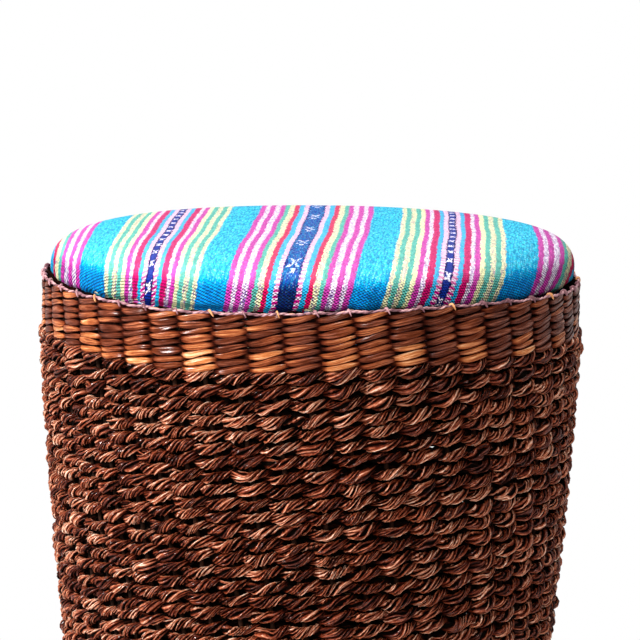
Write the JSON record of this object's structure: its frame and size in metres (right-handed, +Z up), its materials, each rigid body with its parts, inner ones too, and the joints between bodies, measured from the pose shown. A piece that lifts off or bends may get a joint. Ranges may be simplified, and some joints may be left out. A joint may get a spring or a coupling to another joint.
{
  "type": "woven drum stool",
  "caption": "Round woven drum stool: a gently tapered rope-woven body on a wooden frame, a reed band under the rim, and a crowned, striped seat pad that lifts out.",
  "frame": {"origin": "centre of the footprint, on the floor", "axes": "+Z up; -Y towards the side that the picture shows, +X to its right"},
  "size_m": [0.4254, 0.4254, 0.437],
  "materials": {
    "leaf_rope": "twisted dry leaf rope, reddish brown, waxed to a soft shine",
    "flat_reed": "flat reed, orange to dark brown from weaver to weaver, glossy varnish",
    "rim_cord": "thin twisted fibre cord, purple brown, soft shine",
    "cane": "peeled rattan cane, satin",
    "timber": "plain sawn softwood",
    "plywood": "unfinished plywood",
    "screw_steel": "bright zinc plated",
    "glide_plastic": "dark brown moulded plastic",
    "foam": "open-cell upholstery foam, pale cream",
    "striped_cloth": "warp-faced cotton, turquoise with groups of thin coloured stripes"
  },
  "bodies": {
    "stool": {"woven_body": "leaf_rope", "woven_band": "flat_reed", "rim_cord": "rim_cord", "foot_border": "leaf_rope", "stake_cage": "cane", "seat_ledge": "timber", "base_ring": "timber", "waist_hoop": "cane", "post_1": "cane", "post_2": "cane", "post_3": "cane", "post_4": "cane", "post_5": "cane", "post_6": "cane", "post_7": "cane", "post_8": "cane", "seat_brace_lower": "timber", "seat_brace_upper": "timber", "base_brace_lower": "timber", "base_brace_upper": "timber", "ledge_screw_1": "screw_steel", "ledge_screw_2": "screw_steel", "ledge_screw_3": "screw_steel", "ledge_screw_4": "screw_steel", "ledge_screw_5": "screw_steel", "ledge_screw_6": "screw_steel", "ledge_screw_7": "screw_steel", "ledge_screw_8": "screw_steel", "base_screw_1": "screw_steel", "base_screw_2": "screw_steel", "base_screw_3": "screw_steel", "base_screw_4": "screw_steel", "base_screw_5": "screw_steel", "base_screw_6": "screw_steel", "base_screw_7": "screw_steel", "base_screw_8": "screw_steel", "seat_brace_screw_1": "screw_steel", "seat_brace_screw_2": "screw_steel", "seat_brace_screw_3": "screw_steel", "seat_brace_screw_4": "screw_steel", "base_brace_screw_1": "screw_steel", "base_brace_screw_2": "screw_steel", "base_brace_screw_3": "screw_steel", "base_brace_screw_4": "screw_steel", "glide_1": "glide_plastic", "glide_2": "glide_plastic", "glide_3": "glide_plastic", "glide_4": "glide_plastic"},
    "seat_pad": {"seat_board": "plywood", "seat_foam": "foam", "seat_cover": "striped_cloth"}
  },
  "joints": [
    {"name": "pad_lift", "type": "slide", "parent": "stool", "child": "seat_pad", "axis": [0, 0, 1], "range_m": [0, 0.12]}
  ]
}
